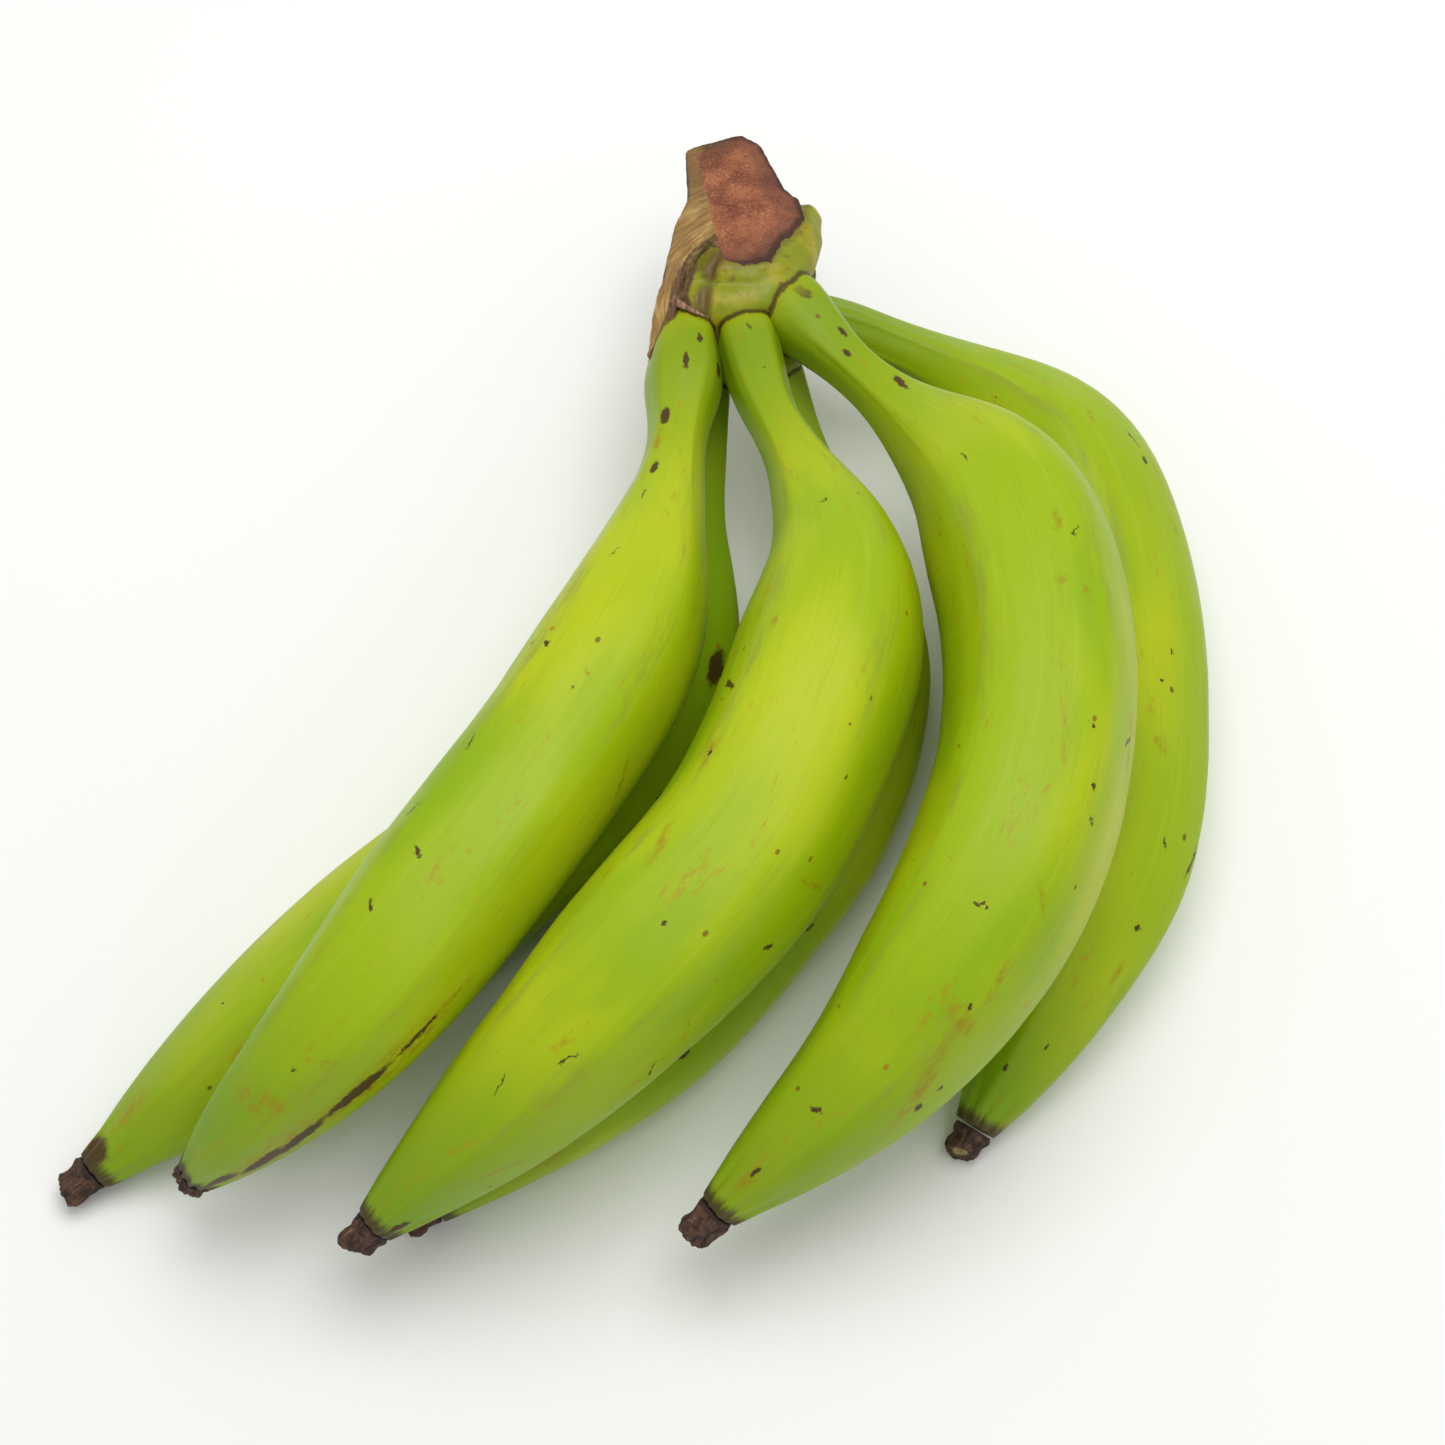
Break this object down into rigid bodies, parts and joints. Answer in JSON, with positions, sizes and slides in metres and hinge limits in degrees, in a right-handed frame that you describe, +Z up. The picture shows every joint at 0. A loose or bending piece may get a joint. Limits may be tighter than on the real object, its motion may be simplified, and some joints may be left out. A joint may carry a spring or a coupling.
{
  "type": "bunch of bananas",
  "caption": "Hand of green cooking bananas laid flat, with curved, ridged fingers in stacked rows joined by their necks to a cut crown.",
  "frame": {"origin": "on the resting surface, under the middle of the whole hand", "axes": "+Z up from the resting surface, +Y from the fingers' tips towards the crown, +X towards the side that the fingers bulge to"},
  "size_m": [0.2636, 0.2766, 0.088],
  "materials": {
    "peel": "waxy green skin with a soft sheen",
    "flower_end": "dry, dark, wrinkled",
    "crown": "drying cut stalk tissue, fibrous"
  },
  "bodies": {
    "root": {"finger_front_right": "peel", "finger_front_middle": "peel", "finger_front_left": "peel", "finger_back_right": "peel", "finger_back_middle": "peel", "finger_back_left": "peel", "flower_end_front_right": "flower_end", "flower_end_front_middle": "flower_end", "flower_end_front_left": "flower_end", "flower_end_back_right": "flower_end", "flower_end_back_middle": "flower_end", "flower_end_back_left": "flower_end", "crown": "crown"}
  },
  "joints": []
}
